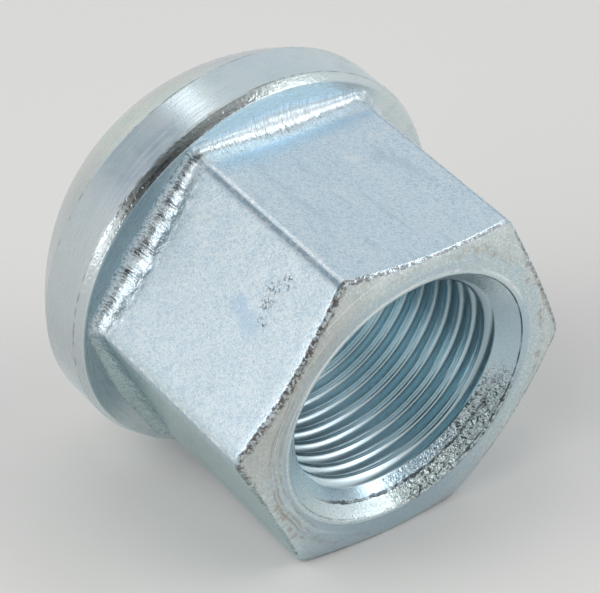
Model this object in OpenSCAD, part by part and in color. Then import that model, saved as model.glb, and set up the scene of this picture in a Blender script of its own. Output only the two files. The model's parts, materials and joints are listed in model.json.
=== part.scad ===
// One-piece flanged lug nut with a ball seat, lying on its side.
// The nut is shaped along its own axis: Z = 0 is the seat end, the open end is up.
// It is then laid on the rim of its flange and the front edge of one flat, open end towards +X.

/* [Hexagon] */
// Width across the flats
hex_af = 27; // [25:0.5:32]
// Overall length from seat end to open end
nut_len = 28; // [22:0.5:40]
// Radius that rounds the six long edges between the flats
edge_round_r = 1.2; // [0.3:0.1:2]
// How far inside the flats the front chamfer starts
front_chamfer_in = 0.45; // [0.1:0.05:0.8]
// Slope of the front chamfer, measured from the front face
front_chamfer_deg = 17; // [10:1:35]
// Radius of the fillet where the flats run into the flange
base_fillet_r = 0.8; // [0.3:0.1:1]

/* [Flange] */
// How far the rim stands outside the corners of the hexagon
flange_over = 1.44; // [1.2:0.01:4]
// Width of the straight rim band
rim_w = 3.7; // [1.5:0.1:6]
// Length of the bevel on the hexagon side of the rim
rim_bevel_len = 0.9; // [0.5:0.1:1.5]
// Depth of that bevel towards the axis
rim_bevel_in = 0.4; // [0.2:0.05:0.5]

/* [Ball seat] */
// Length of the seat from the rim to the seat end
seat_len = 4.9; // [3:0.1:5.5]
// Slope of the seat where it leaves the rim, measured from the axis
seat_start_deg = 27.5; // [20:0.5:30]

/* [Thread] */
// Nominal diameter of the thread
thread_d = 20; // [16:0.5:21]
// Pitch of the thread
thread_pitch = 1.5; // [1:0.25:2]
// How far the wide countersink at the open end reaches outside the thread
mouth_over = 1.1; // [0.3:0.1:1.5]
// How far the countersink at the seat end reaches outside the thread
seat_mouth_over = 0.6; // [0.3:0.1:1.5]
// Full angle of both countersinks
mouth_deg = 90; // [60:5:120]

/* [Hidden] */
$fn = 128;

// Overlap by which a cutter runs past the surface that it cuts
cut_over = 1;
// How far the turned blank, which leaves the foot of the long edges, stands outside their rounding
blank_over = 0.04;
// Height of that foot as a share of the base fillet
edge_foot = 1.4;
// Half angle of the rounding: just under 30 degrees, so that it leaves the flats in a faint crease
edge_span = 25;

// Radii: the bore is the minor radius of a 60 degree metric thread
bore_r = (thread_d - 1.0825 * thread_pitch) / 2;
mouth_r = thread_d / 2 + mouth_over;
seat_mouth_r = thread_d / 2 + seat_mouth_over;
hex_r = hex_af / 2;
edge_half_w = edge_round_r * sin(edge_span);
edge_center_r = (hex_r - edge_half_w * sin(30)) / cos(30) - edge_round_r * cos(edge_span);
corner_r = edge_center_r + edge_round_r;
blank_r = corner_r + blank_over;
front_r = hex_r - front_chamfer_in;
flange_r = corner_r + flange_over;

// Heights along the nut's own axis
rim_near_z = seat_len + rim_w;
face_z = rim_near_z + rim_bevel_len;
blank_top_z = nut_len - (blank_r - front_r) * tan(front_chamfer_deg);
flat_top_z = nut_len - front_chamfer_in * tan(front_chamfer_deg);

// Shoulder of the blank above the flange face: the bevel runs on up to it
shoulder_h = base_fillet_r / 2;
shoulder_r = flange_r - rim_bevel_in * (1 + shoulder_h / rim_bevel_len);

// Ball that the seat is part of: it passes through the far edge of the rim
seat_r = flange_r / cos(seat_start_deg);
seat_center_z = seat_len + seat_r * sin(seat_start_deg);
seat_end_r = sqrt(seat_r * seat_r - seat_center_z * seat_center_z);

// Lying pose: the near edge of the rim and the front edge of the lower flat touch the ground
lie_tilt = atan((flange_r - hex_r) / (flat_top_z - rim_near_z));
lie_lift = flange_r * cos(lie_tilt) + rim_near_z * sin(lie_tilt);
lie_x_max = nut_len * cos(lie_tilt) + front_r * sin(lie_tilt);
lie_x_min = -seat_end_r * sin(lie_tilt);

// What a fillet of radius r fills in the corner of two walls along X and Y
module fillet_corner(r) {
    difference() {
        square(r);
        translate([r, r]) circle(r);
    }
}

// Half section of the turned blank, without its bore; the flats later take the shoulder away,
// all but a small foot under each corner
module blank_section() {
    difference() {
        polygon([
            [0, 0],
            [flange_r, 0],
            [flange_r, rim_near_z],
            [shoulder_r, face_z + shoulder_h],
            [blank_r, face_z + base_fillet_r],
            [blank_r, blank_top_z],
            [front_r, nut_len],
            [0, nut_len]
        ]);
        // What lies outside the ball below the rim
        difference() {
            translate([0, -cut_over]) square([2 * flange_r, rim_near_z + cut_over]);
            translate([0, seat_center_z]) circle(seat_r);
        }
    }
}

// Block outside one flat, with its lower inner edge rounded so that the base fillet stays
module flat_cutter() {
    cut_len = nut_len - face_z + cut_over;
    rotate([90, 0, 0])
        linear_extrude(height = 2 * flange_r, center = true)
            translate([hex_r, face_z])
                difference() {
                    square([flange_r, cut_len]);
                    fillet_corner(base_fillet_r);
                }
}

// Prism that rounds one long edge, down to its foot just over the base fillet
module edge_rounder() {
    rotate([0, 0, 30])
        translate([edge_center_r, 0, face_z + edge_foot * base_fillet_r])
            linear_extrude(height = nut_len - face_z)
                difference() {
                    translate([edge_round_r * cos(edge_span), -edge_round_r]) square(2 * edge_round_r);
                    circle(edge_round_r);
                }
}

// Cone that sinks a countersink of radius r at Z = 0, opening downwards
module countersink(r) {
    slope = tan(mouth_deg / 2);
    translate([0, 0, -cut_over])
        cylinder(r1 = r + cut_over * slope, r2 = 0, h = r / slope + cut_over);
}

// Plain bore at the minor diameter with a countersink at each end
module thread_bore() {
    translate([0, 0, -cut_over]) cylinder(r = bore_r, h = nut_len + 2 * cut_over);
    countersink(seat_mouth_r);
    translate([0, 0, nut_len]) rotate([180, 0, 0]) countersink(mouth_r);
}

// The nut along its own axis, one flat facing +X
module nut_on_axis() {
    difference() {
        rotate_extrude() blank_section();
        for (i = [0 : 5]) rotate([0, 0, 60 * i]) {
            flat_cutter();
            edge_rounder();
        }
        thread_bore();
    }
}

module lug_nut() {
    color([0.72, 0.79, 0.84])
        translate([-(lie_x_max + lie_x_min) / 2, 0, lie_lift])
            rotate([0, 90 + lie_tilt, 0])
                nut_on_axis();
}

lug_nut();
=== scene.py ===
# Looks of a one-piece flanged lug nut: plated steel, cut thread, worn edges, on a pale studio floor.
import json
import math

import bmesh
import bpy
from mathutils import Matrix, Vector, noise


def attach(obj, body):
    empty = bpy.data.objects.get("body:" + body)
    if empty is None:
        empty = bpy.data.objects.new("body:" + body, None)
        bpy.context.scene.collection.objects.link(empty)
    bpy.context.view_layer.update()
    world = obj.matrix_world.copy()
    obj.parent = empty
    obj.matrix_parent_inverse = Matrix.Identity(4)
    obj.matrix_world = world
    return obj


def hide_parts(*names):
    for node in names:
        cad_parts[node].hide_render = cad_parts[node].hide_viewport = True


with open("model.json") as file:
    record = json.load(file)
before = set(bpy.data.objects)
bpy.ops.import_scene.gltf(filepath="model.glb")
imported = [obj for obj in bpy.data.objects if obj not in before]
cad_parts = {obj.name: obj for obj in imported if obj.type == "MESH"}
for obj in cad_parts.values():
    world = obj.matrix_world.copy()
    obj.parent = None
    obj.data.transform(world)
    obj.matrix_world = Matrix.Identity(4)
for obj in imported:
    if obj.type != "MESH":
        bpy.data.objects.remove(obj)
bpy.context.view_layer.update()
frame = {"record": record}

bl_info = {
    "name": "Flanged lug nut",
    "version": (1, 0, 0),
    "blender": (4, 5, 0),
    "location": "View3D > Sidebar > Lug nut",
    "description": "Builds the plated lug nut with its thread, finishes and studio",
    "category": "Add Mesh",
}

MM = 0.001
TURN = 2 * math.pi
SIXTH = TURN / 6
MOUNTS = {mount["name"]: mount for mount in frame["record"]["mounts"]}
FINISHES = ("forged", "face", "turned", "mouth", "thread")

# Flats that show in the photograph's view, in degrees round the axis from the lower flat
TOP, LEFT, LOWER_LEFT = 180, 240, 300

# Form of the thread in pitches: height of its turns, half width of their crests, depth of the pilot bore
TURN_HEIGHT = 0.54125
CREST_LAND = 0.11
PILOT_DEPTH = 0.72

# Vertices round the nut, and the angle from which an edge is sharp
RING_STEPS = 480
SHARP_ANGLE = math.radians(38)

# How far the softened front edge reaches, and half the width of the break between chamfer and ring, mm
EDGE_REACH = 0.28
RING_BREAK = 0.05

# The tent's own colour, and its zones: azimuth, elevation, full and outer reach in degrees, colour
TENT_COLOUR = (0.72, 0.73, 0.73)
TENT_ZONES = (
    (38, 37, 28, 42, (0.02, 0.02, 0.02)),
    (-60, 45, 10, 32, (0.41, 0.43, 0.45)),
    (-139, 42, 15, 45, (0.635, 0.675, 0.70)),
    (118, 74, 10, 26, (0.18, 0.18, 0.18)),
    (130, 27, 6, 20, (0.90, 0.90, 0.90)),
)

# Soft panels: name, azimuth, elevation, width and height in metres, brightness, seen in reflections
PANELS = (
    ("right_panel", 146, 46, 0.46, 0.36, 3.0, True),
    ("inner_panel", 120, 44, 0.42, 0.32, 2.3, True),
    ("low_panel", 124, 7, 0.56, 0.34, 2.1, True),
    ("left_panel", -4, 11, 0.66, 0.30, 2.8, True),
    ("top_panel", -86, 60, 0.24, 0.20, 1.4, True),
    ("ceiling", 0, 89, 0.60, 0.60, 1.0, False),
    ("fill", 5, 38, 1.2, 1.0, 2.7, False),
)
PANEL_DISTANCE = 1.2


class NutSizes(bpy.types.PropertyGroup):
    """Sizes of the nut in millimetres, along its own axis from the seat end."""

    hex_af: bpy.props.FloatProperty(
        name="Across flats", description="Width across the flats, mm", default=27.0)
    nut_len: bpy.props.FloatProperty(
        name="Length", description="Seat end to open end, mm", default=28.0)
    corner_round: bpy.props.FloatProperty(
        name="Corner rounding", description="Radius of the six long edges, mm", default=1.3)
    front_in: bpy.props.FloatProperty(
        name="Chamfer start", description="How far inside the flats the chamfer starts, mm", default=0.45)
    front_slope: bpy.props.FloatProperty(
        name="Chamfer slope", description="Slope of the front chamfer",
        default=math.radians(17), subtype="ANGLE")
    fillet_r: bpy.props.FloatProperty(
        name="Base fillet", description="Fillet between flats and flange, mm", default=0.8)
    fillet_more: bpy.props.FloatProperty(
        name="Fillet growth", description="How much wider the fillet is along the middle of a flat, mm",
        default=0.45)
    fillet_tall: bpy.props.FloatProperty(
        name="Fillet height", description="How many times taller than deep the fillet is", default=1.5)
    flange_r: bpy.props.FloatProperty(
        name="Flange radius", description="Radius over the rim, mm", default=16.846)
    rim_far: bpy.props.FloatProperty(
        name="Rim far edge", description="Height of the rim's far edge, mm", default=4.9)
    rim_near: bpy.props.FloatProperty(
        name="Rim near edge", description="Height of the rim's near edge, mm", default=8.6)
    face: bpy.props.FloatProperty(
        name="Flange face", description="Height of the flange face, mm", default=9.5)
    bevel_in: bpy.props.FloatProperty(
        name="Rim bevel", description="Depth of the rim's bevel, mm", default=0.4)
    seat_slope: bpy.props.FloatProperty(
        name="Seat slope", description="Slope of the ball seat at the rim",
        default=math.radians(27.5), subtype="ANGLE")
    thread_r: bpy.props.FloatProperty(
        name="Thread radius", description="Nominal radius of the thread, mm", default=10.0)
    pitch: bpy.props.FloatProperty(
        name="Pitch", description="Pitch of the right-hand thread, mm", default=1.5)
    thread_phase: bpy.props.FloatProperty(
        name="Thread phase", description="Height of one thread crest over the lower flat, mm",
        default=26.48)
    mouth_r: bpy.props.FloatProperty(
        name="Mouth radius", description="Radius of the wide countersink, mm", default=11.1)
    seat_mouth_r: bpy.props.FloatProperty(
        name="Seat mouth radius", description="Radius of the seat end's countersink, mm", default=10.6)
    mouth_slope: bpy.props.FloatProperty(
        name="Mouth angle", description="Half angle of the countersinks",
        default=math.radians(45), subtype="ANGLE")
    lead_slope: bpy.props.FloatProperty(
        name="Lead angle", description="Half angle of the thread's lead-in inside the mouth",
        default=math.radians(28), subtype="ANGLE")


class NutColours(bpy.types.PropertyGroup):
    """Colours of the plating, its wear, painted highlights and shade, and the studio."""

    plate: bpy.props.FloatVectorProperty(
        name="Plating", description="Pale blue zinc plating", subtype="COLOR",
        default=(0.665, 0.83, 0.955))
    face: bpy.props.FloatVectorProperty(
        name="Front face", description="Greyer plating of the front face", subtype="COLOR",
        default=(0.62, 0.695, 0.68))
    ring: bpy.props.FloatVectorProperty(
        name="Front ring", description="Bluer plating of the ring inside the chamfer", subtype="COLOR",
        default=(0.60, 0.725, 0.765))
    face_pale: bpy.props.FloatVectorProperty(
        name="Pale front face", description="Lighter patches of the front face", subtype="COLOR",
        default=(0.72, 0.79, 0.775))
    thread: bpy.props.FloatVectorProperty(
        name="Thread", description="Deeper blue of the plating in the thread", subtype="COLOR",
        default=(0.70, 0.88, 0.945))
    # Pale plating patches; also the painted highlight low in the thread
    pale_plating_and_painted_highlight: bpy.props.FloatVectorProperty(
        name="Pale plating", description="Lighter patches of the plating", subtype="COLOR",
        default=(0.79, 0.90, 0.965))
    # Bright hair marks; also the painted highlights along the long edges, on the base fillet and at the
    # mouth's lip
    pale_mark_and_painted_highlight: bpy.props.FloatVectorProperty(
        name="Hair marks", description="Bright hair marks in the plating", subtype="COLOR",
        default=(0.90, 0.96, 0.99))
    # Dark marks; also painted shade beside the long edges, at the top fillet's foot, on the front ring and
    # in the mouth
    mark: bpy.props.FloatVectorProperty(
        name="Dark marks", description="Darker marks in the plating", subtype="COLOR",
        default=(0.46, 0.60, 0.70))
    # Also the painted shade on the top flat under the base fillet
    smudge: bpy.props.FloatVectorProperty(
        name="Smudge", description="Bluer smudges and shade on the flats", subtype="COLOR",
        default=(0.46, 0.66, 0.85))
    # Painted shade: the lower left of the rim and seat greyer
    rim: bpy.props.FloatVectorProperty(
        name="Low rim", description="Greyer plating low on the rim", subtype="COLOR",
        default=(0.58, 0.63, 0.65))
    # Painted shade on the flange face, the left fillet's foot and the thread's flanks and first turn; also
    # dark specks in the lower left fillet
    shade: bpy.props.FloatVectorProperty(
        name="Flange shade", description="Dull plating of the flange face and in hollows", subtype="COLOR",
        default=(0.37, 0.48, 0.53))
    # Painted shade: the lower left flat darker and greener
    under: bpy.props.FloatVectorProperty(
        name="Underside", description="Greener plating of the lower left flat", subtype="COLOR",
        default=(0.425, 0.58, 0.575))
    worn: bpy.props.FloatVectorProperty(
        name="Worn edge", description="Dull brown grey of the worn edges", subtype="COLOR",
        default=(0.17, 0.155, 0.145))
    # Also dark painted specks of shade at the foot of the left fillet
    groove: bpy.props.FloatVectorProperty(
        name="Grooves", description="Nearly black dirt in pits and grooves", subtype="COLOR",
        default=(0.07, 0.085, 0.095))
    mouth: bpy.props.FloatVectorProperty(
        name="Mouth", description="Bluish grey plating of the countersinks", subtype="COLOR",
        default=(0.65, 0.79, 0.83))
    mouth_pale: bpy.props.FloatVectorProperty(
        name="Pale mouth", description="Lighter grain of the countersinks", subtype="COLOR",
        default=(0.78, 0.88, 0.90))
    stain: bpy.props.FloatVectorProperty(
        name="Stain", description="Brownish stain on the front ring", subtype="COLOR",
        default=(0.42, 0.40, 0.36))
    floor: bpy.props.FloatVectorProperty(
        name="Floor", description="Pale warm grey floor", subtype="COLOR",
        default=(0.672, 0.664, 0.648))


class NutCamera(bpy.types.PropertyGroup):
    """The photograph's view."""

    azimuth: bpy.props.FloatProperty(
        name="Azimuth", description="Turn of the camera round the nut",
        default=math.radians(52.11), subtype="ANGLE")
    elevation: bpy.props.FloatProperty(
        name="Elevation", description="Height of the camera over the floor",
        default=math.radians(30.40), subtype="ANGLE")
    roll: bpy.props.FloatProperty(
        name="Roll", description="Roll of the camera", default=math.radians(0.24), subtype="ANGLE")
    distance: bpy.props.FloatProperty(
        name="Distance", description="Camera to target", default=0.21175, unit="LENGTH")
    focal: bpy.props.FloatProperty(
        name="Focal length", description="Focal length in mm on a 36 mm sensor", default=165.75)
    target: bpy.props.FloatVectorProperty(
        name="Target", description="Point that the camera looks at", default=(0.00061, 0.0, 0.01600),
        subtype="TRANSLATION")


def sizes():
    """The nut's sizes."""
    return bpy.context.scene.nut_sizes


def colours():
    """The nut's colours."""
    return bpy.context.scene.nut_colours


# Frame of the nut

def nut_matrix():
    """From the nut's own millimetres (seat end at 0, open end up Z, lower flat at +X) to the scene."""
    z_axis = Vector(MOUNTS["front_face"]["axis"]).normalized()
    on_axis = Vector(MOUNTS["stud_thread"]["pos_m"])
    front = Vector(MOUNTS["front_face"]["pos_m"])
    front_centre = on_axis + z_axis * (front - on_axis).dot(z_axis)
    down = Vector((0, 0, -1))
    x_axis = (down - z_axis * down.dot(z_axis)).normalized()
    y_axis = z_axis.cross(x_axis)
    turn = Matrix((x_axis, y_axis, z_axis)).transposed().to_4x4()
    seat_end = front_centre - z_axis * sizes().nut_len * MM
    return Matrix.Translation(seat_end) @ turn @ Matrix.Scale(MM, 4)


# Sizes that follow from the others, in the nut's own millimetres

def front_radius(s):
    """Radius where the front ring meets the chamfer."""
    return s.hex_af / 2 - s.front_in


def pilot_radius(s):
    """Radius of the plain bore that the thread is cut into."""
    return s.thread_r - PILOT_DEPTH * s.pitch


def crest_radius(s):
    """Radius of the thread's crests."""
    return s.thread_r - TURN_HEIGHT * s.pitch


def fillet_top(s):
    """Height of the base fillet's top on the middle of a flat."""
    return s.face + (s.fillet_r + s.fillet_more) * s.fillet_tall


def chamfer_height(s, r):
    """Height of the front chamfer at radius r."""
    return s.nut_len - (r - front_radius(s)) * math.tan(s.front_slope)


def edge_end(s, r):
    """Radius where the softened front edge ends on the chamfer; r is the radius of the hexagon there."""
    most = 0.45
    return r - min(EDGE_REACH, (r - front_radius(s)) * most)


def lead_start(s):
    """Radius and height where the thread's lead-in starts in the mouth."""
    over_thread = 0.05
    r = s.thread_r + over_thread
    return r, s.nut_len - (s.mouth_r - r) / math.tan(s.mouth_slope)


def hex_radius(s, angle, out=0.0):
    """Radius of the hexagon with rounded corners, one flat at angle 0, grown by out."""
    flat_r = s.hex_af / 2 + out
    corner_r = s.corner_round + out
    off = abs((angle + SIXTH / 2) % SIXTH - SIXTH / 2)
    centre = (flat_r - corner_r) / math.cos(SIXTH / 2)
    tangent = math.atan((flat_r - corner_r) * math.tan(SIXTH / 2) / flat_r)
    if off <= tangent:
        return flat_r / math.cos(off)
    side = SIXTH / 2 - off
    return centre * math.cos(side) + math.sqrt(corner_r ** 2 - (centre * math.sin(side)) ** 2)


def arc(centre, radius, start, end, steps):
    """Points of an arc in the (radius, height) plane, angles in degrees."""
    points = []
    for i in range(steps + 1):
        a = math.radians(start + (end - start) * i / steps)
        points.append((centre[0] + radius * math.cos(a), centre[1] + radius * math.sin(a)))
    return points


def rounded_corner(before, corner, after, reach, steps=4):
    """Points that round a corner, starting and ending at reach from it."""
    corner, before, after = Vector(corner), Vector(before), Vector(after)
    first = corner + (before - corner).normalized() * reach
    last = corner + (after - corner).normalized() * reach
    points = []
    for i in range(steps + 1):
        t = i / steps
        p = first * (1 - t) ** 2 + corner * 2 * t * (1 - t) + last * t ** 2
        points.append((p.x, p.y))
    return points


# Rings of the nut's surface: a rule gives a ring's radius and height at each angle

class Rings:
    """Lofts one loop of vertices from ring to ring."""

    def __init__(self, steps):
        self.bm = bmesh.new()
        made = bmesh.ops.create_circle(self.bm, cap_ends=False, segments=steps, radius=1.0)
        self.first = list(made["verts"])
        self.angles = [math.atan2(v.co.y, v.co.x) for v in self.first]
        self.loop = self.first
        self.started = False

    def edges(self, loop):
        """Edges of a loop of vertices."""
        return [self.bm.edges.get(pair) for pair in zip(loop, loop[1:] + loop[:1])]

    def paint(self, faces, finish):
        """Gives faces their finish."""
        for face in faces:
            face.material_index = FINISHES.index(finish)

    def add(self, rule, finish):
        """Adds a ring whose radius and height come from rule(angle); finish is the strip's surface."""
        if self.started:
            grown = bmesh.ops.extrude_edge_only(self.bm, edges=self.edges(self.loop))["geom"]
            new = {v for v in grown if isinstance(v, bmesh.types.BMVert)}
            ends = [[e.other_vert(v) for e in v.link_edges] for v in self.loop]
            self.loop = [next(v for v in around if v in new) for around in ends]
            self.paint([f for f in grown if isinstance(f, bmesh.types.BMFace)], finish)
        self.started = True
        for v, a in zip(self.loop, self.angles):
            r, z = rule(a)
            v.co = (r * math.cos(a), r * math.sin(a), z)

    def add_round(self, points, finish):
        """Adds round rings through points of the (radius, height) plane."""
        for point in points:
            self.add(lambda angle, at=point: at, finish)

    def close(self, finish):
        """Joins the last ring to the first."""
        made = bmesh.ops.bridge_loops(self.bm, edges=self.edges(self.first) + self.edges(self.loop))
        self.paint(made["faces"], finish)


def seat_end(rings, s):
    """Countersink, flat ring, ball seat, rim and its bevel."""
    lip_reach, seat_reach, rim_reach, bevel_reach = 0.15, 0.22, 0.16, 0.10
    ball_r = s.flange_r / math.cos(s.seat_slope)
    ball_z = s.rim_far + ball_r * math.sin(s.seat_slope)
    end_r = math.sqrt(ball_r ** 2 - ball_z ** 2)
    end_deg = -math.degrees(math.acos(end_r / ball_r))
    rim_deg = -math.degrees(s.seat_slope)
    seat = arc((0, ball_z), ball_r, end_deg, rim_deg, 14)
    pilot_r = pilot_radius(s)
    pilot = (pilot_r, (s.seat_mouth_r - pilot_r) / math.tan(s.mouth_slope))
    lip = (s.seat_mouth_r, 0)
    edge = (end_r, 0)
    rim_far = (s.flange_r, s.rim_far)
    rim_near = (s.flange_r, s.rim_near)
    bevel_top = (s.flange_r - s.bevel_in, s.face)
    rings.add_round([pilot] + rounded_corner(pilot, lip, edge, lip_reach), "mouth")
    rings.add_round(rounded_corner(lip, edge, seat[1], seat_reach), "turned")
    rings.add_round(seat[2:-1], "turned")
    rings.add_round(rounded_corner(seat[-2], rim_far, rim_near, rim_reach), "turned")
    rings.add_round(rounded_corner(rim_far, rim_near, bevel_top, rim_reach), "turned")
    rings.add_round(rounded_corner(rim_near, bevel_top, (front_radius(s), s.face), bevel_reach), "turned")


def fillet_rule(s, share):
    """Base fillet, from flange face (share 0) to flat (1): torn on the left, wide and low at the top."""
    def rule(angle):
        middle = 0.5 + 0.5 * math.cos(6 * angle)
        way = Vector((math.cos(angle), math.sin(angle), 0))
        left = max(0, math.cos(angle - math.radians(LEFT))) ** 6
        upper = max(0, -math.cos(angle)) ** 6
        torn = 0.25 + 0.85 * left
        steps = noise.noise(way * 5) + 0.8 * noise.noise(way * 15)
        ragged = 1 - 0.35 * left + upper + torn * steps
        r = s.fillet_r + s.fillet_more * middle * max(0, ragged)
        turn = math.radians(90 * share)
        out = r * (1 - math.sin(turn))
        rise = r * s.fillet_tall * (1 - 0.4 * upper) * (1 - math.cos(turn))
        return hex_radius(s, angle, out), s.face + rise
    return rule


def flat_rule(s, share):
    """Flats, from over the fillet (share 0) to under the front edge (1)."""
    low = s.face + (s.fillet_r + 2 * s.fillet_more) * s.fillet_tall

    def rule(angle):
        r = hex_radius(s, angle)
        top = chamfer_height(s, r) - EDGE_REACH
        return r, low + (top - low) * share
    return rule


def edge_rule(s, share):
    """Softened front edge, from the flat (share 0) to the chamfer (1)."""
    before, at, after = (1 - share) ** 2, 2 * share * (1 - share), share ** 2

    def rule(angle):
        r = hex_radius(s, angle)
        z = chamfer_height(s, r)
        end = edge_end(s, r)
        height = before * (z - EDGE_REACH) + at * z + after * chamfer_height(s, end)
        return (before + at) * r + after * end, height
    return rule


def chamfer_rule(s, share):
    """Front chamfer, from the softened edge (share 0) to the ring (1)."""
    def rule(angle):
        outer = edge_end(s, hex_radius(s, angle))
        r = outer + (front_radius(s) + RING_BREAK - outer) * share
        return r, chamfer_height(s, r)
    return rule


def lead_rule(s, share):
    """Lead-in of the thread, steeper low in the mouth, from its start (share 0) to the pilot bore (1)."""
    start_r, start_z = lead_start(s)
    r = start_r + (pilot_radius(s) - start_r) * share

    def rule(angle):
        low = max(0, math.cos(angle + math.radians(12))) ** 8
        slope = s.mouth_slope + (s.lead_slope - s.mouth_slope) * low
        return r, start_z - (start_r - r) / math.tan(slope)
    return rule


def nut_body():
    """The nut with a plain pilot bore inside the thread."""
    s = sizes()
    lip_reach = 0.26
    rings = Rings(RING_STEPS)
    seat_end(rings, s)
    rings.add(fillet_rule(s, 0), "turned")
    for rule, steps, finish in (
            (fillet_rule, 10, "forged"), (flat_rule, 20, "forged"), (edge_rule, 4, "forged"),
            (chamfer_rule, 4, "face")):
        for i in range(1, steps + 1):
            rings.add(rule(s, i / steps), finish)
    front_r = front_radius(s)
    lip = rounded_corner((front_r, s.nut_len), (s.mouth_r, s.nut_len), lead_start(s), lip_reach)
    rings.add_round([(front_r - RING_BREAK, s.nut_len), lip[0]], "face")
    rings.add_round(lip[1:], "mouth")
    for share in (0, 0.08, 1):
        rings.add(lead_rule(s, share), "mouth")
    rings.close("thread")
    bmesh.ops.recalc_face_normals(rings.bm, faces=rings.bm.faces)
    return rings.bm


# Thread

def thread_section(s):
    """One pitch of the thread in the (radius, height) plane: a grooved crest, then a rounded root."""
    soft, groove = 0.012, 0.05
    crest_r = crest_radius(s)
    land = CREST_LAND * s.pitch
    crest = ((-1, soft), (-0.65, 0), (0, groove), (0.65, 0), (1, soft))
    section = [(crest_r + out, land * share) for share, out in crest]
    root_steps = 12
    for i in range(1, root_steps + 1):
        t = i / root_steps
        swing = 0.5 - 0.5 * math.cos(TURN * t)
        depth = soft + (s.thread_r - crest_r - soft) * swing
        section.append((crest_r + depth, land + (s.pitch - 2 * land) * t))
    return section


def thread_tap():
    """The air inside the thread: a screw of the thread's form that runs past both ends of the nut."""
    s = sizes()
    overrun = 3 * s.pitch
    start = s.thread_phase - math.ceil((s.thread_phase + overrun) / s.pitch) * s.pitch
    turns = math.ceil((s.nut_len + overrun - start) / s.pitch)
    steps = 144
    weld = 0.002
    bm = bmesh.new()
    verts = [bm.verts.new((r, 0, start + z)) for r, z in thread_section(s)]
    edges = [bm.edges.new(pair) for pair in zip(verts, verts[1:])]
    bmesh.ops.spin(
        bm, geom=verts + edges, cent=(0, 0, 0), axis=(0, 0, 1), dvec=(0, 0, s.pitch / steps),
        angle=TURN, steps=steps, use_merge=False, use_duplicate=False)
    one_turn = bm.verts[:] + bm.edges[:] + bm.faces[:]
    for i in range(1, turns):
        copy = bmesh.ops.duplicate(bm, geom=one_turn)["geom"]
        moved = [v for v in copy if isinstance(v, bmesh.types.BMVert)]
        bmesh.ops.translate(bm, verts=moved, vec=(0, 0, i * s.pitch))
    bmesh.ops.remove_doubles(bm, verts=bm.verts, dist=weld)
    for height, up in ((-s.pitch, -1), (s.nut_len + s.pitch, 1)):
        bmesh.ops.bisect_plane(
            bm, geom=bm.verts[:] + bm.edges[:] + bm.faces[:], dist=1e-4, plane_co=(0, 0, height),
            plane_no=(0, 0, up), clear_outer=True)
    open_edges = [e for e in bm.edges if e.is_boundary]
    bmesh.ops.edgeloop_fill(bm, edges=open_edges)
    bmesh.ops.recalc_face_normals(bm, faces=bm.faces)
    for face in bm.faces:
        face.material_index = FINISHES.index("thread")
    return bm


def new_object(name, bm, materials):
    """Object in the scene with the mesh and its materials."""
    mesh = bpy.data.meshes.new(name)
    bm.to_mesh(mesh)
    bm.free()
    for material in materials:
        mesh.materials.append(material)
    obj = bpy.data.objects.new(name, mesh)
    bpy.context.scene.collection.objects.link(obj)
    return obj


def clean_mesh(mesh):
    """Takes away the slivers that a cut leaves, and splits faces of many corners."""
    weld, sliver = 0.004, 0.002
    bm = bmesh.new()
    bm.from_mesh(mesh)
    bmesh.ops.remove_doubles(bm, verts=bm.verts, dist=weld)
    bmesh.ops.dissolve_degenerate(bm, dist=sliver, edges=bm.edges)
    bmesh.ops.triangulate(bm, faces=[face for face in bm.faces if len(face.verts) > 4])
    bm.to_mesh(mesh)
    bm.free()


def cut_thread(nut, tap):
    """Cuts the thread into the nut for good and removes the tap."""
    cut = nut.modifiers.new("cut", "BOOLEAN")
    cut.operation = "DIFFERENCE"
    cut.solver = "EXACT"
    cut.object = tap
    graph = bpy.context.evaluated_depsgraph_get()
    mesh = bpy.data.meshes.new_from_object(nut.evaluated_get(graph))
    nut.modifiers.clear()
    clean_mesh(mesh)
    old = nut.data
    nut.data = mesh
    mesh.name = nut.name
    bpy.data.meshes.remove(old)
    bpy.data.objects.remove(tap)


# Finishes

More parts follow.
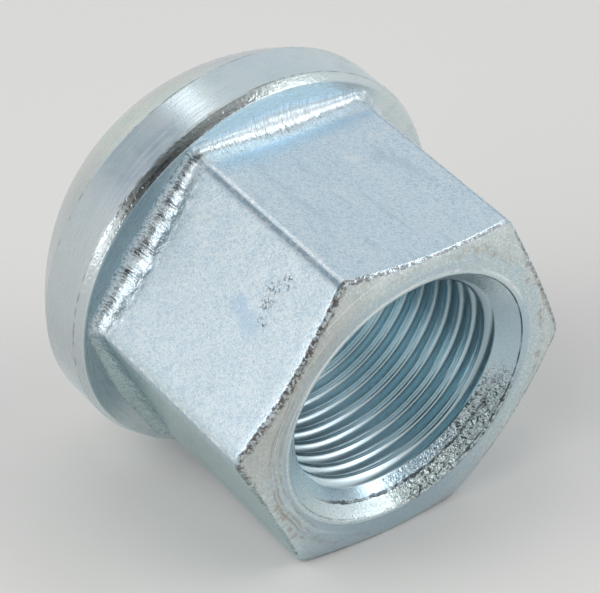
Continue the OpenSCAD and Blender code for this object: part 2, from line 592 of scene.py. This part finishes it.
class Nodes:
    """Short forms for building a node tree."""

    def __init__(self, tree):
        self.tree = tree

    def add(self, kind, inputs=None, **settings):
        """New node with its settings; an input is a socket or a constant."""
        node = self.tree.nodes.new(kind)
        for name, value in settings.items():
            setattr(node, name, value)
        for key, value in (inputs or {}).items():
            self.put(node.inputs[key], value)
        return node

    def put(self, socket, value):
        """Links a socket to the input, or sets the input's constant."""
        if isinstance(value, bpy.types.NodeSocket):
            self.tree.links.new(value, socket)
        else:
            socket.default_value = value

    def math(self, operation, first, second=0.0):
        """Result of a sum on one or two values."""
        return self.add("ShaderNodeMath", {0: first, 1: second}, operation=operation).outputs[0]

    def plus(self, total, *others):
        """Sum of values."""
        for other in others:
            total = self.math("ADD", total, other)
        return total

    def minus(self, first, second):
        """Difference of two values."""
        return self.math("SUBTRACT", first, second)

    def times(self, product, *others):
        """Product of values."""
        for other in others:
            product = self.math("MULTIPLY", product, other)
        return product

    def most(self, greatest, *others):
        """Greatest of some values."""
        for other in others:
            greatest = self.math("MAXIMUM", greatest, other)
        return greatest

    def ramp(self, value, low, high, start=0.0, end=1.0):
        """Smooth step from start at low to end at high."""
        node = self.add(
            "ShaderNodeMapRange",
            {"Value": value, "From Min": low, "From Max": high, "To Min": start, "To Max": end},
            interpolation_type="SMOOTHSTEP")
        return node.outputs["Result"]

    def line(self, value, centre, half_width):
        """1 along a line where value passes centre, fading to 0 at half_width."""
        away = self.math("ABSOLUTE", self.minus(value, centre))
        return self.ramp(away, half_width, half_width * 0.4)

    def noise(self, vector, scale, detail=2.0, distortion=0.0):
        """Noise from 0 to 1."""
        node = self.add(
            "ShaderNodeTexNoise",
            {"Vector": vector, "Scale": scale, "Detail": detail, "Distortion": distortion})
        return node.outputs["Fac"]

    def vector(self, x, y, z):
        """Vector of three values."""
        return self.add("ShaderNodeCombineXYZ", {"X": x, "Y": y, "Z": z}).outputs["Vector"]

    def mix(self, factor, first, second):
        """Colour between first (factor 0) and second (1)."""
        node = self.add("ShaderNodeMix", {0: factor}, data_type="RGBA")
        for socket, value in ((node.inputs[6], first), (node.inputs[7], second)):
            self.put(socket, value if isinstance(value, bpy.types.NodeSocket) else (*value, 1))
        return node.outputs[2]

    def bump(self, height, depth, normal=None):
        """Bump of a height from 0 to 1, depth in millimetres."""
        node = self.add("ShaderNodeBump", {"Height": height, "Distance": depth * MM, "Strength": 1.0})
        if normal is not None:
            self.put(node.inputs["Normal"], normal)
        return node.outputs["Normal"]


class Finish(Nodes):
    """A plated surface in the nut's own round coordinates."""

    def __init__(self, name):
        self.material = bpy.data.materials.new(name)
        self.material.use_nodes = True
        super().__init__(self.material.node_tree)
        self.shader = self.tree.nodes["Principled BSDF"]
        self.shader.inputs["Metallic"].default_value = 1.0
        place, turn, scale = nut_matrix().inverted().decompose()
        coords = self.add("ShaderNodeTexCoord").outputs["Object"]
        mapping = self.add(
            "ShaderNodeMapping",
            {"Vector": coords, "Location": place, "Rotation": turn.to_euler(), "Scale": scale},
            vector_type="POINT")
        self.spot = mapping.outputs["Vector"]
        parts = self.add("ShaderNodeSeparateXYZ", {"Vector": self.spot}).outputs
        x, y, self.z = parts["X"], parts["Y"], parts["Z"]
        self.radius = self.math("SQRT", self.plus(self.times(x, x), self.times(y, y)))
        self.angle = self.math("ARCTAN2", y, x)
        turned = self.math("FLOORED_MODULO", self.plus(self.angle, SIXTH / 2), SIXTH)
        off = self.minus(turned, SIXTH / 2)
        self.across = self.times(self.radius, self.math("SINE", off))
        self.flat_out = self.times(self.radius, self.math("COSINE", off))

    def facing(self, degrees):
        """1 on the side of the nut at an angle round its axis, 0 on the other side."""
        away = self.math("COSINE", self.minus(self.angle, math.radians(degrees)))
        return self.times(self.plus(away, 1.0), 0.5)

    def around(self, along, across_z, across_r):
        """Coordinates for marks that run round the axis: few along, many across."""
        across = self.plus(self.times(self.z, across_z), self.times(self.radius, across_r))
        return self.vector(self.times(self.angle, along), across, 0.0)

    def lengthwise(self, across, along):
        """Coordinates for marks that run along the flats: many across, few along."""
        return self.vector(self.times(self.across, across), self.times(self.z, along), self.angle)

    def strokes(self, degrees):
        """Short hair marks on the flats, turned by an angle."""
        c, d = math.cos(math.radians(degrees)), math.sin(math.radians(degrees))
        along = self.plus(self.times(self.across, c), self.times(self.z, d))
        over = self.minus(self.times(self.z, c), self.times(self.across, d))
        spread = self.vector(self.times(along, 2.4), self.times(over, 9.5), self.angle)
        return self.noise(spread, 1.0, 2.0, 0.4)

    def near(self, place, radius):
        """1 at a place on the nut, in its own millimetres, fading to 0 at radius."""
        gap = self.add("ShaderNodeVectorMath", {0: self.spot, 1: place}, operation="DISTANCE")
        return self.ramp(gap.outputs["Value"], radius, radius * 0.2)

    def front_wear(self, on_flat):
        """Dull speckled wear along the front edges, widest beside the left flat."""
        s = sizes()
        left = self.ramp(self.facing(LEFT), 0.72, 0.97)
        right = self.ramp(self.facing(90), 0.55, 0.88)
        upper = self.ramp(self.facing(TOP), 0.86, 0.97, 0.0, 0.75)
        if on_flat:
            rise = self.times(self.minus(self.radius, front_radius(s)), math.tan(s.front_slope))
            gap = self.minus(self.minus(s.nut_len, rise), self.z)
            reach = self.ramp(left, 0, 1, 0.13, 0.24)
        else:
            gap = self.minus(s.hex_af / 2, self.flat_out)
            reach = self.plus(self.ramp(left, 0, 1, 0.14, 0.55), self.times(right, 0.34))
        rag = self.times(self.minus(self.noise(self.spot, 1.7, 5.0, 0.6), 0.5), 1.8)
        share = self.plus(self.math("DIVIDE", gap, reach), rag)
        speck = self.ramp(self.noise(self.spot, 3.4, 5.0, 0.8), 0.40, 0.60, 0.15, 1.0)
        patches = self.ramp(self.noise(self.spot, 0.45, 2.0), 0.36, 0.56, 0.25, 0.9)
        strength = self.most(left, self.times(patches, 0.75), self.times(right, 0.8), upper)
        return self.times(self.ramp(share, 1.15, 0.5), speck, strength)

    def finish(self, colour, roughness, normal):
        """Puts the surface together and returns its material."""
        self.put(self.shader.inputs["Base Color"], colour)
        self.put(self.shader.inputs["Roughness"], roughness)
        self.put(self.shader.inputs["Normal"], normal)
        return self.material


def flat_place(degrees, across, height):
    """A place on the flat at an angle, in the nut's own millimetres."""
    flat_r = sizes().hex_af / 2
    angle = math.radians(degrees)
    x = flat_r * math.cos(angle) - across * math.sin(angle)
    y = flat_r * math.sin(angle) + across * math.cos(angle)
    return Vector((x, y, height))


def hair_marks(f, colour, hair, strokes):
    """Bright and dark hair marks all over the plating."""
    c = colours()
    for stroke in strokes:
        colour = f.mix(f.ramp(stroke, 0.52, 0.70, 0.0, 0.85), colour, c.pale_mark_and_painted_highlight)
        colour = f.mix(f.ramp(stroke, 0.46, 0.28, 0.0, 0.60), colour, c.mark)
    return f.mix(f.ramp(hair, 0.42, 0.26, 0.0, 0.45), colour, c.mark)


def flat_tints(f, colour):
    """Drawn marks and a painted blue shade under the fillet on the top flat; painted shade that makes the
    lower left flat darker and greener, with streaks.
    """
    c = colours()
    top = fillet_top(sizes())
    on_top = f.ramp(f.facing(TOP), 0.90, 0.97)
    drawn = f.ramp(f.noise(f.lengthwise(0.8, 0.2), 1.0, 6.0, 0.6), 0.52, 0.70, 0.0, 0.4)
    colour = f.mix(f.times(drawn, on_top), colour, c.mark)
    # Painted shade: the top flat bluer and darker just under the base fillet
    shade = f.times(f.ramp(f.z, top + 1.9, top + 0.1), f.ramp(f.z, top - 0.4, top), on_top, 0.6)
    colour = f.mix(shade, colour, c.smudge)
    # Painted shade: the lower left flat darker and greener
    below = f.ramp(f.facing(LOWER_LEFT), 0.90, 0.97)
    colour = f.mix(f.times(below, 0.85), colour, c.under)
    streak = f.noise(f.vector(f.times(f.across, 2.2), f.times(f.z, 0.12), 0.0), 1.0, 3.0, 0.3)
    colour = f.mix(f.times(below, f.ramp(streak, 0.52, 0.68, 0.0, 0.30)), colour, c.pale_mark_and_painted_highlight)
    return f.mix(f.times(below, f.ramp(streak, 0.46, 0.32, 0.0, 0.55)), colour, c.mark)


def edge_lines(f, colour):
    """Broken lines beside the long edges, a painted highlight on one side and painted shade on the other;
    scuffs on the top flat.
    """
    c = colours()
    broken = f.noise(f.spot, 2.4, 4.0)
    edge = sizes().hex_af / 2 * math.tan(SIXTH / 2) - 0.334
    # Painted highlight along one side of each long edge, painted shade along the other
    painted_highlight_line = f.times(f.ramp(f.across, edge - 0.14, edge), f.ramp(broken, 0.46, 0.58, 0.1, 0.9))
    colour = f.mix(painted_highlight_line, colour, c.pale_mark_and_painted_highlight)
    painted_shade_line = f.times(f.ramp(f.across, 0.18 - edge, -edge), f.ramp(broken, 0.60, 0.46, 0.3, 1.0))
    colour = f.mix(painted_shade_line, colour, c.mark)
    for across, height, radius in ((-2.3, 16.1, 0.9), (-1.9, 15.2, 0.8), (1.2, 18.6, 0.7)):
        place = flat_place(TOP, across, height)
        scuff = f.times(f.near(place, radius), f.ramp(broken, 0.44, 0.60), 0.8)
        colour = f.mix(scuff, colour, c.pale_mark_and_painted_highlight)
    return colour


def left_pits(f):
    """Pits in the left flat."""
    pits = 0.0
    places = ((-4.2, 22.3, 1.2), (-5.2, 23.1, 0.9), (-2.9, 22.5, 1.0), (-1.6, 22.9, 0.8))
    for across, height, radius in places:
        pits = f.most(pits, f.near(flat_place(LEFT, across, height), radius))
    return f.times(pits, f.ramp(f.noise(f.spot, 4.0, 3.0, 0.8), 0.50, 0.66, 0.0, 0.8))


def left_smudges(f, colour, hair):
    """Bluish smudges beside the pits."""
    for across, height, radius in ((-1.4, 20.4, 1.3), (-0.9, 22.0, 1.5)):
        place = flat_place(LEFT, across, height)
        smudge = f.times(f.near(place, radius), f.ramp(hair, 0.3, 0.6, 0.2, 0.6))
        colour = f.mix(smudge, colour, colours().smudge)
    return colour


def fillet_tints(f, colour, in_fillet, upper):
    """Painted highlight that whitens the base fillet, painted shade at its foot at the top and, with dark
    specks, on the left, and specks on the lower left.
    """
    s, c = sizes(), colours()
    # Painted highlight: the fillet paler, most at the top
    colour = f.mix(f.times(in_fillet, f.ramp(upper, 0, 1, 0.2, 0.4)), colour, c.pale_mark_and_painted_highlight)
    # Painted shade at the foot of the top fillet
    foot_painted_shade = f.times(upper, f.ramp(f.z, s.face + 0.40, s.face + 0.08, 0.0, 0.6))
    colour = f.mix(foot_painted_shade, colour, c.mark)
    # Painted shade with dark specks at the foot of the left fillet
    foot = f.times(f.ramp(f.z, s.face + 0.75, s.face + 0.1), f.ramp(f.facing(242), 0.86, 0.95))
    colour = f.mix(f.times(foot, 0.45), colour, c.shade)
    speck = f.ramp(f.noise(f.spot, 5.0, 3.0, 0.5), 0.48, 0.62, 0.0, 0.55)
    colour = f.mix(f.times(foot, speck), colour, c.groove)
    speckled = f.times(in_fillet, f.ramp(f.facing(LOWER_LEFT), 0.84, 0.95))
    return f.mix(f.times(speckled, speck), colour, c.shade)


def forged_finish():
    """Flats and base fillet: satin plating with hair marks, drag marks in the fillet, worn front edges;
    painted highlights and shade.
    """
    c = colours()
    f = Finish("plate_forged")
    hair = f.noise(f.spot, 4.2, 3.0, 1.4)
    strokes = [f.strokes(degrees) for degrees in (25, 75, -40)]
    pits = left_pits(f)
    worn = f.front_wear(True)
    top = fillet_top(sizes())
    in_fillet = f.ramp(f.z, top + 0.2, top - 0.4)
    upper = f.ramp(f.facing(TOP), 0.86, 0.95)

    mottle = f.ramp(f.noise(f.spot, 0.55, 5.0), 0.25, 0.75, 0.2, 0.8)
    colour = f.mix(mottle, c.plate, c.pale_plating_and_painted_highlight)
    colour = hair_marks(f, colour, hair, strokes)
    colour = flat_tints(f, colour)
    colour = edge_lines(f, colour)
    colour = left_smudges(f, colour, hair)
    colour = f.mix(pits, colour, c.groove)
    colour = f.mix(worn, colour, c.worn)
    colour = fillet_tints(f, colour, in_fillet, upper)

    rough = f.plus(f.ramp(hair, 0.2, 0.8, 0.24, 0.38), f.times(worn, 0.2))
    rough = f.minus(rough, f.times(in_fillet, 0.08))
    torn = f.times(f.ramp(f.z, top + 0.6, top - 0.2), f.ramp(f.facing(270), 0.72, 0.90))
    drag = f.minus(f.noise(f.lengthwise(8.0, 0.9), 1.0, 3.0, 0.4), 0.5)
    dragged = f.times(in_fillet, f.ramp(upper, 0, 1, 0.05, 0.085))
    normal = f.bump(f.noise(f.spot, 0.28, 2.0), 0.05)
    normal = f.bump(f.plus(hair, *strokes), 0.010, normal)
    normal = f.bump(f.times(f.minus(f.noise(f.spot, 0.9, 4.0), 0.5), torn), 0.20, normal)
    normal = f.bump(f.times(drag, dragged), 1.0, normal)
    normal = f.bump(f.times(f.most(worn, pits), -1.0), 0.03, normal)
    return f.finish(colour, rough, normal)


def ring_stains(f, colour, wavy):
    """Stains where chamfer and ring meet, at the left corner and in thin round lines on the lower left."""
    s, c = sizes(), colours()
    where = f.most(f.ramp(f.facing(120), 0.72, 0.95), f.ramp(f.facing(320), 0.80, 0.97))
    cloud = f.ramp(f.noise(f.spot, 1.7, 6.0), 0.42, 0.66, 0.0, 0.7)
    stain = f.times(f.line(wavy, front_radius(s) - 0.1, 0.40), where, cloud)
    colour = f.mix(stain, colour, c.stain)
    colour = f.mix(f.ramp(f.facing(245), 0.84, 0.98, 0.0, 0.40), colour, c.stain)
    slow = f.plus(f.radius, f.ramp(f.noise(f.spot, 0.35, 2.0), 0.25, 0.75, -0.25, 0.25))
    patches = f.ramp(f.noise(f.spot, 1.3, 5.0), 0.36, 0.60, 0.12, 0.65)
    broken = f.times(patches, f.ramp(f.facing(275), 0.72, 0.92))
    for outside in (0.75, 1.30, 1.62):
        band = f.times(f.line(slow, s.mouth_r + outside, 0.16), broken)
        colour = f.mix(band, colour, c.stain)
    return colour


def lip_tints(f, colour):
    """Painted shade on the ring at the bottom and at the mouth's edge below the upper left, a darker band
    beside the mouth, and a broken painted highlight line at its upper left.
    """
    s, c = sizes(), colours()
    # Painted shade: the ring darker at the bottom
    colour = f.mix(f.ramp(f.facing(0), 0.80, 0.98, 0.0, 0.60), colour, c.mark)
    beside = f.line(f.radius, s.mouth_r + 0.80, 0.35)
    colour = f.mix(f.times(beside, f.ramp(f.facing(215), 0.70, 0.92, 0.0, 0.35)), colour, c.mark)
    # Painted highlight on the mouth's edge at the upper left, painted shade on it elsewhere
    upper = f.ramp(f.facing(190), 0.50, 0.80)
    broken = f.ramp(f.noise(f.spot, 0.7, 4.0), 0.36, 0.52)
    painted_highlight_line = f.times(f.line(f.radius, s.mouth_r + 0.34, 0.15), broken, upper)
    colour = f.mix(painted_highlight_line, colour, c.pale_mark_and_painted_highlight)
    painted_shade_line = f.times(f.line(f.radius, s.mouth_r + 0.25, 0.45), f.ramp(upper, 0, 1, 0.55, 0.0))
    return f.mix(painted_shade_line, colour, c.mark)


def face_finish():
    """Front chamfer and bluer ring: satin grain, stained where they meet, with worn outer edges."""
    c = colours()
    f = Finish("plate_face")
    front_r = front_radius(sizes())
    grain = f.noise(f.spot, 5.0, 4.0, 1.2)
    worn = f.front_wear(False)
    colour = f.mix(f.ramp(f.noise(f.spot, 0.6, 5.0), 0.30, 0.70), c.face, c.face_pale)
    wavy = f.plus(f.radius, f.ramp(f.noise(f.spot, 0.5, 4.0), 0.25, 0.75, -0.5, 0.5))
    colour = f.mix(f.ramp(wavy, front_r - 0.05, front_r - 0.55, 0.0, 0.8), colour, c.ring)
    colour = f.mix(f.ramp(grain, 0.52, 0.66, 0.0, 0.8), colour, c.pale_mark_and_painted_highlight)
    colour = f.mix(f.ramp(grain, 0.48, 0.33, 0.0, 0.8), colour, c.mark)
    colour = ring_stains(f, colour, wavy)
    colour = lip_tints(f, colour)
    lathe = f.noise(f.around(0.7, 0.0, 4.5), 1.0, 4.0)
    colour = f.mix(f.ramp(lathe, 0.56, 0.72, 0.0, 0.5), colour, c.pale_mark_and_painted_highlight)
    colour = f.mix(worn, colour, c.worn)

    rough = f.plus(f.ramp(grain, 0.2, 0.8, 0.28, 0.42), f.times(worn, 0.2))
    normal = f.bump(f.noise(f.around(1.4, 1.0, 7.0), 1.0, 3.0), 0.008)
    normal = f.bump(f.times(grain, f.ramp(f.facing(350), 0.75, 0.95, 0.020, 0.040)), 1.0, normal)
    normal = f.bump(f.times(worn, -1.0), 0.03, normal)
    return f.finish(colour, rough, normal)


def iridescence(f):
    """Slow drift from pale green over straw to lilac."""
    drift = f.ramp(f.noise(f.spot, 0.16, 2.0), 0.3, 0.7)
    node = f.add("ShaderNodeValToRGB", {"Fac": drift})
    stops = node.color_ramp.elements
    stops[0].color = (0.64, 0.80, 0.75, 1)
    stops[1].color = (0.74, 0.73, 0.86, 1)
    stops.new(0.5).color = (0.82, 0.83, 0.70, 1)
    return node.outputs["Color"]


def turned_finish():
    """Rim, flange face and ball seat: clouded plating, lathe streaks and a faint iridescence; painted shade
    on the flange face at the left and top and on the lower left of the rim and seat.
    """
    s, c = sizes(), colours()
    f = Finish("plate_turned")
    streak = f.noise(f.around(2.6, 4.2, 3.0), 1.0, 4.0)
    colour = f.mix(f.ramp(streak, 0.3, 0.7), c.plate, c.pale_plating_and_painted_highlight)
    cloud = f.noise(f.spot, 0.5, 5.0, 0.5)
    colour = f.mix(f.ramp(cloud, 0.50, 0.66, 0.0, 0.5), colour, c.pale_mark_and_painted_highlight)
    colour = f.mix(f.ramp(cloud, 0.48, 0.32, 0.0, 0.4), colour, c.mark)
    on_seat = f.ramp(f.z, s.rim_far + 0.3, s.rim_far - 0.6, 0.18, 0.75)
    colour = f.mix(on_seat, colour, iridescence(f))
    on_bevel = f.ramp(f.z, s.rim_near - 0.1, s.rim_near + 0.1, 0.0, 0.5)
    colour = f.mix(on_bevel, colour, c.face_pale)
    on_face = f.ramp(f.z, s.face - 0.12, s.face - 0.02)
    # Painted shade on the flange face at the left and at the top
    colour = f.mix(f.times(on_face, f.ramp(f.facing(262), 0.79, 0.92, 0.0, 0.95)), colour, c.shade)
    colour = f.mix(f.times(on_face, f.ramp(f.facing(TOP), 0.88, 0.96, 0.0, 0.75)), colour, c.shade)
    on_rim = f.ramp(f.z, s.face - 0.05, s.face - 0.2)
    # Painted shade: the rim and seat greyer on the lower left
    colour = f.mix(f.times(on_rim, f.ramp(f.facing(262), 0.86, 0.99, 0.0, 0.85)), colour, c.rim)
    colour = f.mix(f.times(on_rim, f.ramp(f.facing(TOP), 0.90, 0.99, 0.0, 0.6)), colour, c.face_pale)
    broken = f.ramp(f.noise(f.spot, 1.1, 5.0), 0.44, 0.66, 0.0, 0.6)
    for edge in (s.rim_far, s.rim_near):
        colour = f.mix(f.times(f.line(f.z, edge, 0.09), broken), colour, c.worn)

    rough = f.ramp(streak, 0.2, 0.8, 0.20, 0.36)
    dents = f.ramp(f.z, s.rim_near - 0.05, s.rim_near + 0.1, 0.006, 0.04)
    normal = f.bump(streak, 0.012)
    normal = f.bump(f.times(f.noise(f.spot, 3.4, 2.0, 1.0), dents), 1.0, normal)
    return f.finish(colour, rough, normal)


def mouth_finish():
    """Countersinks: satin, chatter on the lower right, a burr line at the thread, a dark lip line; painted
    shade on the right and on the lead-in at the bottom.
    """
    s, c = sizes(), colours()
    f = Finish("plate_mouth")
    grain = f.noise(f.spot, 6.0, 3.0)
    chattered = f.ramp(f.facing(42), 0.84, 0.97)
    chatter = f.noise(f.vector(f.times(f.angle, 36.0), f.times(f.radius, 4.4), 0.0), 1.0, 2.0, 1.0)
    colour = f.mix(f.ramp(grain, 0.35, 0.65), c.mouth, c.mouth_pale)
    # Painted shade on the right side of the mouth
    colour = f.mix(f.ramp(f.facing(82), 0.80, 0.95, 0.0, 0.75), colour, c.mark)
    colour = f.mix(f.times(chattered, 0.6), colour, c.face)
    fleck = f.times(f.ramp(chattered, 0.45, 1.0), f.ramp(chatter, 0.48, 0.35, 0.0, 0.95))
    colour = f.mix(fleck, colour, c.groove)
    # Painted shade on the thread's lead-in at the bottom
    in_lead = f.ramp(f.radius, s.thread_r + 0.10, s.thread_r)
    colour = f.mix(f.times(in_lead, f.ramp(f.facing(0), 0.80, 0.97, 0.0, 0.85)), colour, c.mark)
    ragged = f.plus(f.radius, f.times(f.minus(f.noise(f.spot, 1.6, 4.0), 0.5), 0.26))
    patches = f.ramp(f.noise(f.spot, 1.2, 3.0), 0.36, 0.56, 0.35, 1.0)
    burr = f.times(f.line(ragged, s.thread_r + 0.06, 0.10), patches, f.ramp(f.facing(12), 0.72, 0.92))
    colour = f.mix(f.times(burr, 0.9), colour, c.groove)
    broken = f.ramp(f.noise(f.spot, 0.5, 3.0), 0.30, 0.55)
    lip = f.times(f.line(f.radius, s.mouth_r - 0.10, 0.07), broken)
    colour = f.mix(f.times(lip, f.ramp(f.facing(95), 0.5, 0.97, 0.45, 0.95)), colour, c.groove)

    rough = f.minus(f.ramp(grain, 0.2, 0.8, 0.24, 0.38), f.times(chattered, 0.12))
    outside = f.ramp(ragged, s.thread_r - 0.1, s.thread_r + 0.35, 0.5, 1.0)
    depth = f.times(f.plus(f.times(chattered, 0.9), 0.10), outside)
    normal = f.bump(grain, 0.008)
    normal = f.bump(f.times(f.minus(chatter, 0.5), depth), 0.36, normal)
    normal = f.bump(f.times(burr, -1.0), 0.05, normal)
    return f.finish(colour, rough, normal)


def thread_finish():
    """Thread: pale, bluer plating with fine marks along the turns; a painted highlight of paler plating at
    the bottom, painted shade on the flanks and the first turn on the right.
    """
    s, c = sizes(), colours()
    f = Finish("plate_thread")
    rise = f.minus(f.z, f.times(f.angle, s.pitch / TURN))
    along = f.vector(f.times(f.angle, 1.2), f.times(rise, 5.0), f.times(f.radius, 4.0))
    marks = f.noise(along, 1.0, 2.0)
    low = f.ramp(f.facing(2), 0.88, 0.99)
    colour = f.mix(f.ramp(marks, 0.40, 0.70, 0.0, 0.18), c.thread, c.pale_plating_and_painted_highlight)
    # Painted highlight: paler plating at the bottom
    colour = f.mix(f.times(low, 0.5), colour, c.pale_plating_and_painted_highlight)
    over_crest = f.minus(f.radius, crest_radius(s))
    flank = f.times(f.ramp(over_crest, 0.55, 0.25), f.ramp(over_crest, 0.02, 0.08))
    # Painted shade on the flanks on the right
    colour = f.mix(f.times(flank, f.ramp(f.facing(88), 0.58, 0.86, 0.0, 0.68)), colour, c.shade)
    first_turn = f.ramp(f.z, s.nut_len - 3.1, s.nut_len - 2.7)
    # Painted shade on the first turn on the right
    colour = f.mix(f.times(first_turn, f.ramp(f.facing(112), 0.66, 0.88, 0.0, 0.6)), colour, c.shade)

    rough = f.plus(f.ramp(marks, 0.2, 0.8, 0.20, 0.28), f.times(low, 0.07))
    return f.finish(colour, rough, f.bump(marks, 0.0012))


class NUT_OT_body(bpy.types.Operator):
    """Builds the nut and cuts its thread"""

    bl_idname = "nut.body"
    bl_label = "Nut"

    def execute(self, context):
        materials = [forged_finish(), face_finish(), turned_finish(), mouth_finish(), thread_finish()]
        nut = new_object("plated_nut", nut_body(), materials)
        tap = new_object("tap", thread_tap(), materials)
        cut_thread(nut, tap)
        nut.data.transform(nut_matrix())
        nut.data.polygons.foreach_set("use_smooth", [True] * len(nut.data.polygons))
        nut.data.set_sharp_from_angle(angle=SHARP_ANGLE)
        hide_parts("lug_nut")
        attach(nut, "root")
        return {"FINISHED"}


# Studio

def sky_direction(azimuth, elevation):
    """Unit vector towards a place in the sky, in radians; azimuth 0 is -Y, a quarter turn is +X."""
    level = math.cos(elevation)
    return Vector((math.sin(azimuth) * level, -math.cos(azimuth) * level, math.sin(elevation)))


def panel(name, way, width, height, brightness, in_reflections):
    """A soft panel that faces the nut; brightness is what a mirror would show."""
    data = bpy.data.lights.new(name, "AREA")
    data.shape = "RECTANGLE"
    data.size = width
    data.size_y = height
    data.energy = brightness * math.pi * width * height
    lamp = bpy.data.objects.new(name, data)
    turn = way.to_track_quat("Z", "Y").to_matrix().to_4x4()
    lamp.matrix_world = Matrix.Translation(way * PANEL_DISTANCE) @ turn
    lamp.visible_glossy = in_reflections
    bpy.context.scene.collection.objects.link(lamp)


class NUT_OT_stage(bpy.types.Operator):
    """Lays the floor, lights the nut and places the camera"""

    bl_idname = "nut.stage"
    bl_label = "Stage"

    def execute(self, context):
        scene = context.scene
        scene.view_settings.view_transform = "Standard"
        self.floor()
        self.tent(scene)
        for name, azimuth, elevation, width, height, brightness, in_reflections in PANELS:
            way = sky_direction(math.radians(azimuth), math.radians(elevation))
            panel(name, way, width, height, brightness, in_reflections)
        self.camera(scene)
        return {"FINISHED"}

    def floor(self):
        """A round pale floor."""
        radius = 2.0
        bm = bmesh.new()
        bmesh.ops.create_circle(bm, cap_ends=True, segments=96, radius=radius)
        material = bpy.data.materials.new("pale_floor")
        material.use_nodes = True
        shader = material.node_tree.nodes["Principled BSDF"]
        shader.inputs["Base Color"].default_value = (*colours().floor, 1)
        shader.inputs["Roughness"].default_value = 0.8
        shader.inputs["Specular IOR Level"].default_value = 0.0
        floor = new_object("floor", bm, [material])

    def tent(self, scene):
        """A pale tent with a dark zone behind the camera and fainter zones elsewhere."""
        world = bpy.data.worlds.new("tent")
        scene.world = world
        world.use_nodes = True
        n = Nodes(world.node_tree)
        toward = n.add("ShaderNodeTexCoord").outputs["Generated"]
        colour = TENT_COLOUR
        for azimuth, elevation, full, outer, shade in TENT_ZONES:
            way = sky_direction(math.radians(azimuth), math.radians(elevation))
            near = n.add("ShaderNodeVectorMath", {0: toward, 1: way}, operation="DOT_PRODUCT")
            edge, middle = math.cos(math.radians(outer)), math.cos(math.radians(full))
            colour = n.mix(n.ramp(near.outputs["Value"], edge, middle), colour, shade)
        n.put(world.node_tree.nodes["Background"].inputs["Color"], colour)

    def camera(self, scene):
        """The camera of the photograph's view."""
        view = scene.nut_camera
        back = sky_direction(view.azimuth, view.elevation)
        right = Vector((math.cos(view.azimuth), math.sin(view.azimuth), 0))
        up = back.cross(right)
        turn = Matrix((right, up, back)).transposed().to_4x4() @ Matrix.Rotation(view.roll, 4, "Z")
        data = bpy.data.cameras.new("photo_view")
        data.sensor_fit = "HORIZONTAL"
        data.sensor_width = 36
        data.lens = view.focal
        data.clip_start = 0.01
        camera = bpy.data.objects.new("photo_view", data)
        camera.matrix_world = Matrix.Translation(Vector(view.target) + back * view.distance) @ turn
        scene.collection.objects.link(camera)
        scene.camera = camera


class NUT_PT_panel(bpy.types.Panel):
    """Lists the builders"""

    bl_idname = "NUT_PT_panel"
    bl_label = "Lug nut"
    bl_space_type = "VIEW_3D"
    bl_region_type = "UI"
    bl_category = "Lug nut"

    def draw(self, context):
        for operator in (NUT_OT_body, NUT_OT_stage):
            self.layout.operator(operator.bl_idname)


CLASSES = (NutSizes, NutColours, NutCamera, NUT_OT_body, NUT_OT_stage, NUT_PT_panel)


def register():
    for cls in CLASSES:
        bpy.utils.register_class(cls)
    bpy.types.Scene.nut_sizes = bpy.props.PointerProperty(type=NutSizes)
    bpy.types.Scene.nut_colours = bpy.props.PointerProperty(type=NutColours)
    bpy.types.Scene.nut_camera = bpy.props.PointerProperty(type=NutCamera)


def unregister():
    del bpy.types.Scene.nut_camera
    del bpy.types.Scene.nut_colours
    del bpy.types.Scene.nut_sizes
    for cls in reversed(CLASSES):
        bpy.utils.unregister_class(cls)


def main():
    register()
    bpy.ops.nut.body()
    bpy.ops.nut.stage()


if __name__ == "__main__":
    main()
